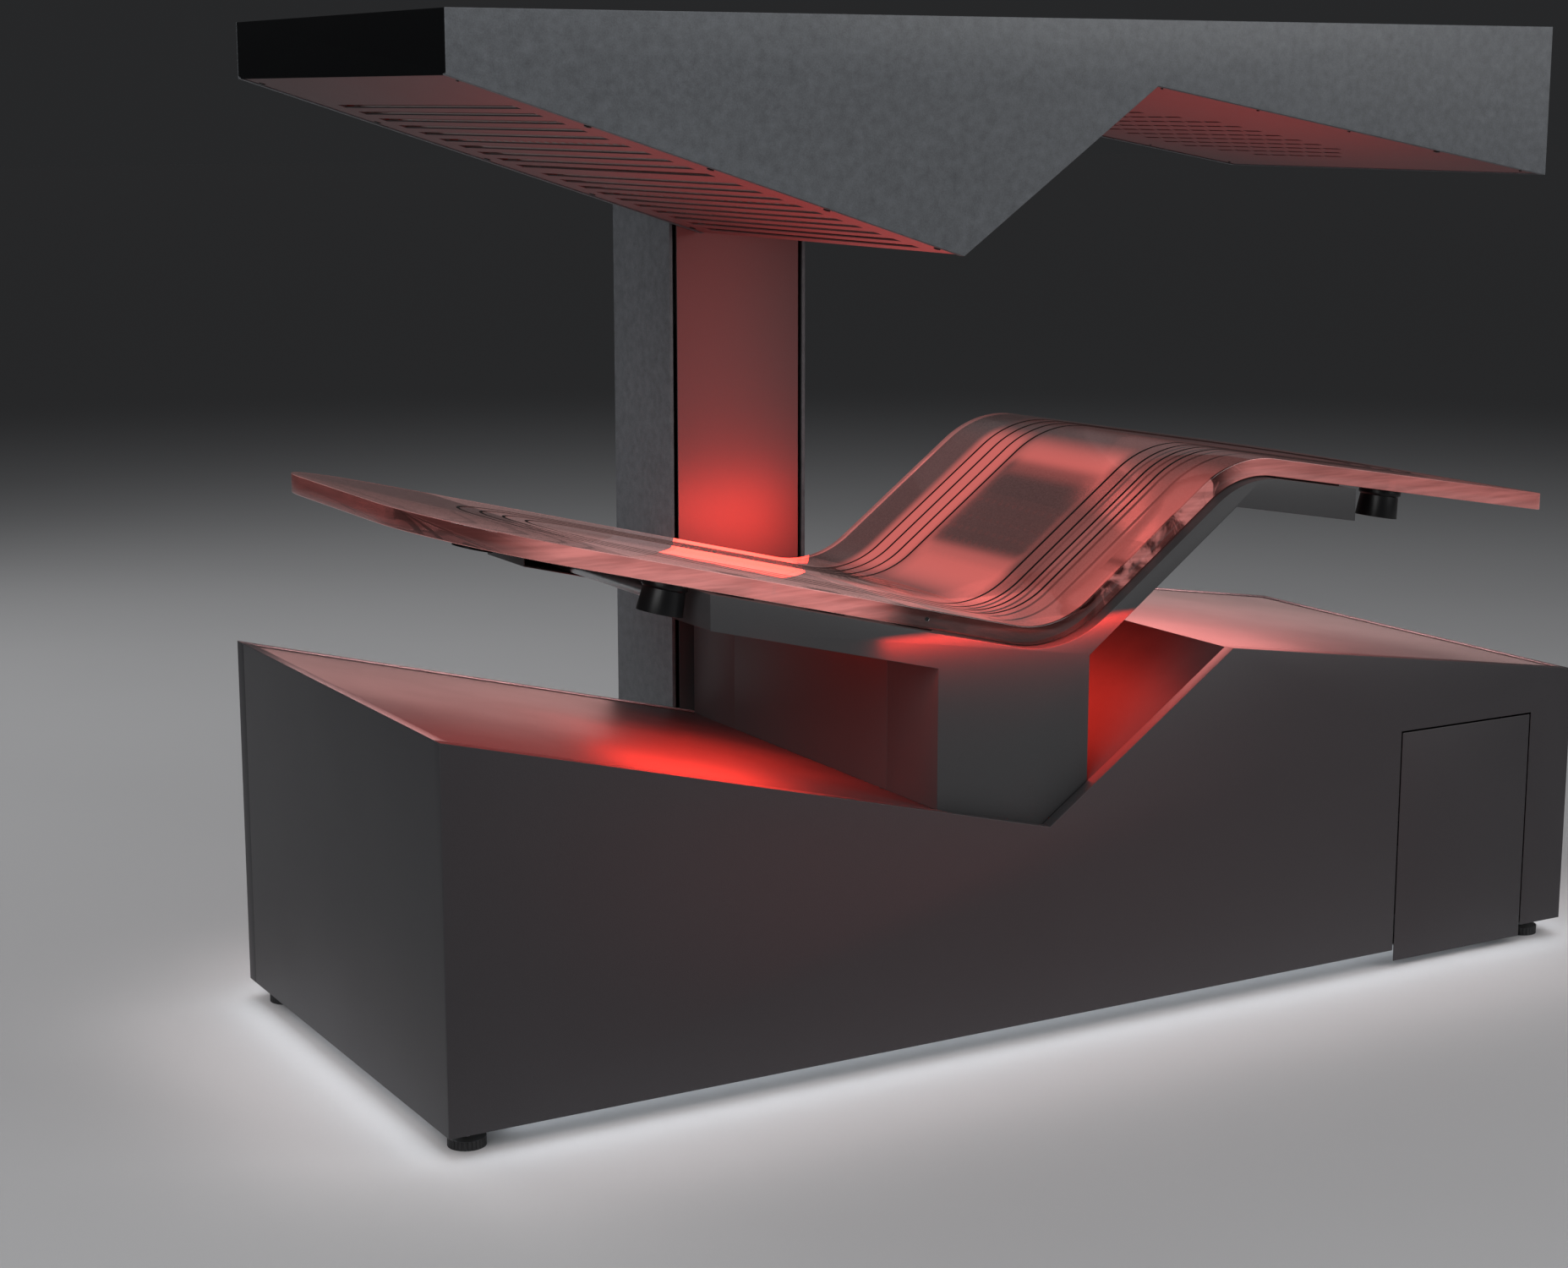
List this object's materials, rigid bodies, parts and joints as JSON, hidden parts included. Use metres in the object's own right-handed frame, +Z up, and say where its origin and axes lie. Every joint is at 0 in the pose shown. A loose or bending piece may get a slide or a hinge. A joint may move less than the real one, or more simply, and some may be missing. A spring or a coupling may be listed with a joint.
{
  "type": "light therapy bed",
  "caption": "Lounge-shaped clear bed on a folded sheet-metal cabinet, with a light canopy that rides a column behind it and a hinged service door.",
  "frame": {"origin": "on the floor, under the middle of the whole object's box", "axes": "+X from the head end to the foot end, +Y from the front to the column behind, +Z up"},
  "size_m": [2.2, 1.084, 1.627],
  "materials": {
    "anthracite_coat": "matte powder coat",
    "grey_coat": "fine textured powder coat",
    "dark_coat": "matte powder coat",
    "black_coat": "fine textured powder coat",
    "zinc_steel": "zinc plated",
    "dark_steel": "black oxide",
    "bare_aluminium": "plain extruded",
    "light_board": "white solder mask",
    "black_rubber": "matte",
    "black_plastic": "fine texture",
    "case_plastic": "fine texture",
    "rocker_plastic": "smooth",
    "white_diffuser": "opal",
    "red_diffuser": "opal",
    "circuit_board": "white solder mask",
    "clear_acrylic": "polished",
    "graphite_inlay": "matte"
  },
  "bodies": {
    "cabinet": {"base_chassis": "zinc_steel", "front_skin": "anthracite_coat", "rear_skin": "anthracite_coat", "head_end_panel": "anthracite_coat", "foot_end_panel": "anthracite_coat", "head_top_panel": "anthracite_coat", "riser_panel": "anthracite_coat", "foot_top_panel": "anthracite_coat", "floor_pan": "zinc_steel", "foot_pads": "black_rubber", "foot_stems": "zinc_steel", "underglow_strips": "white_diffuser", "door_hinge_brackets": "zinc_steel", "door_hinge_pins": "zinc_steel", "door_catch": "black_plastic", "power_supply": "case_plastic", "control_unit": "case_plastic", "mains_inlet": "black_plastic", "base_fan_frame": "black_plastic", "bed_posts": "zinc_steel", "pedestal_head_panel": "dark_coat", "pedestal_foot_panel": "dark_coat", "front_rail": "dark_coat", "rear_rail": "dark_coat", "rail_ties": "zinc_steel", "light_tray": "dark_coat", "bed_led_boards": "circuit_board", "heat_sinks": "bare_aluminium", "accent_light_bars": "red_diffuser", "slab_pads": "black_rubber", "bed_slab": "clear_acrylic", "loop_inlays": "graphite_inlay", "transducer_pucks": "black_plastic", "column_shell": "grey_coat", "column_front_cover": "dark_coat", "column_top_cap": "grey_coat", "column_foot_plate": "zinc_steel", "column_guide_rails": "bare_aluminium", "lift_motor": "bare_aluminium"},
    "door": {"service_door": "anthracite_coat", "door_knuckles": "zinc_steel"},
    "rocker": {"power_rocker": "rocker_plastic"},
    "cabinet_fan": {"base_fan_rotor": "black_plastic"},
    "canopy_fan": {"canopy_fan_rotor": "black_plastic"},
    "canopy": {"canopy_front_skin": "grey_coat", "canopy_rear_skin": "grey_coat", "canopy_head_end": "black_coat", "canopy_foot_end": "grey_coat", "canopy_top_panel": "grey_coat", "canopy_slotted_panel": "dark_coat", "canopy_steep_panel": "dark_coat", "canopy_vented_panel": "dark_coat", "canopy_screws": "dark_steel", "canopy_frame": "bare_aluminium", "canopy_led_board": "light_board", "canopy_fan_frame": "black_plastic", "lift_carriage": "zinc_steel", "carriage_glides": "black_plastic", "lift_rod": "zinc_steel"}
  },
  "joints": [
    {"name": "canopy_lift", "type": "slide", "parent": "cabinet", "child": "canopy", "axis": [0, 0, 1], "range_m": [-0.3, 0]},
    {"name": "door_swing", "type": "hinge", "parent": "cabinet", "child": "door", "pos_m": [0.988, -0.533, 0.25], "axis": [0, 0, 1], "range_deg": [0, 110]},
    {"name": "rocker_tilt", "type": "hinge", "parent": "cabinet", "child": "rocker", "pos_m": [0.85, 0.316, 0.169], "axis": [1, 0, 0], "range_deg": [-18, 0]},
    {"name": "cabinet_fan_spin", "type": "hinge", "parent": "cabinet", "child": "cabinet_fan", "pos_m": [0.62, 0.3, 0.222], "axis": [0, 1, 0], "continuous": true},
    {"name": "canopy_fan_spin", "type": "hinge", "parent": "canopy", "child": "canopy_fan", "pos_m": [0.46, -0.113, 1.61], "axis": [0, 0, 1], "continuous": true}
  ]
}
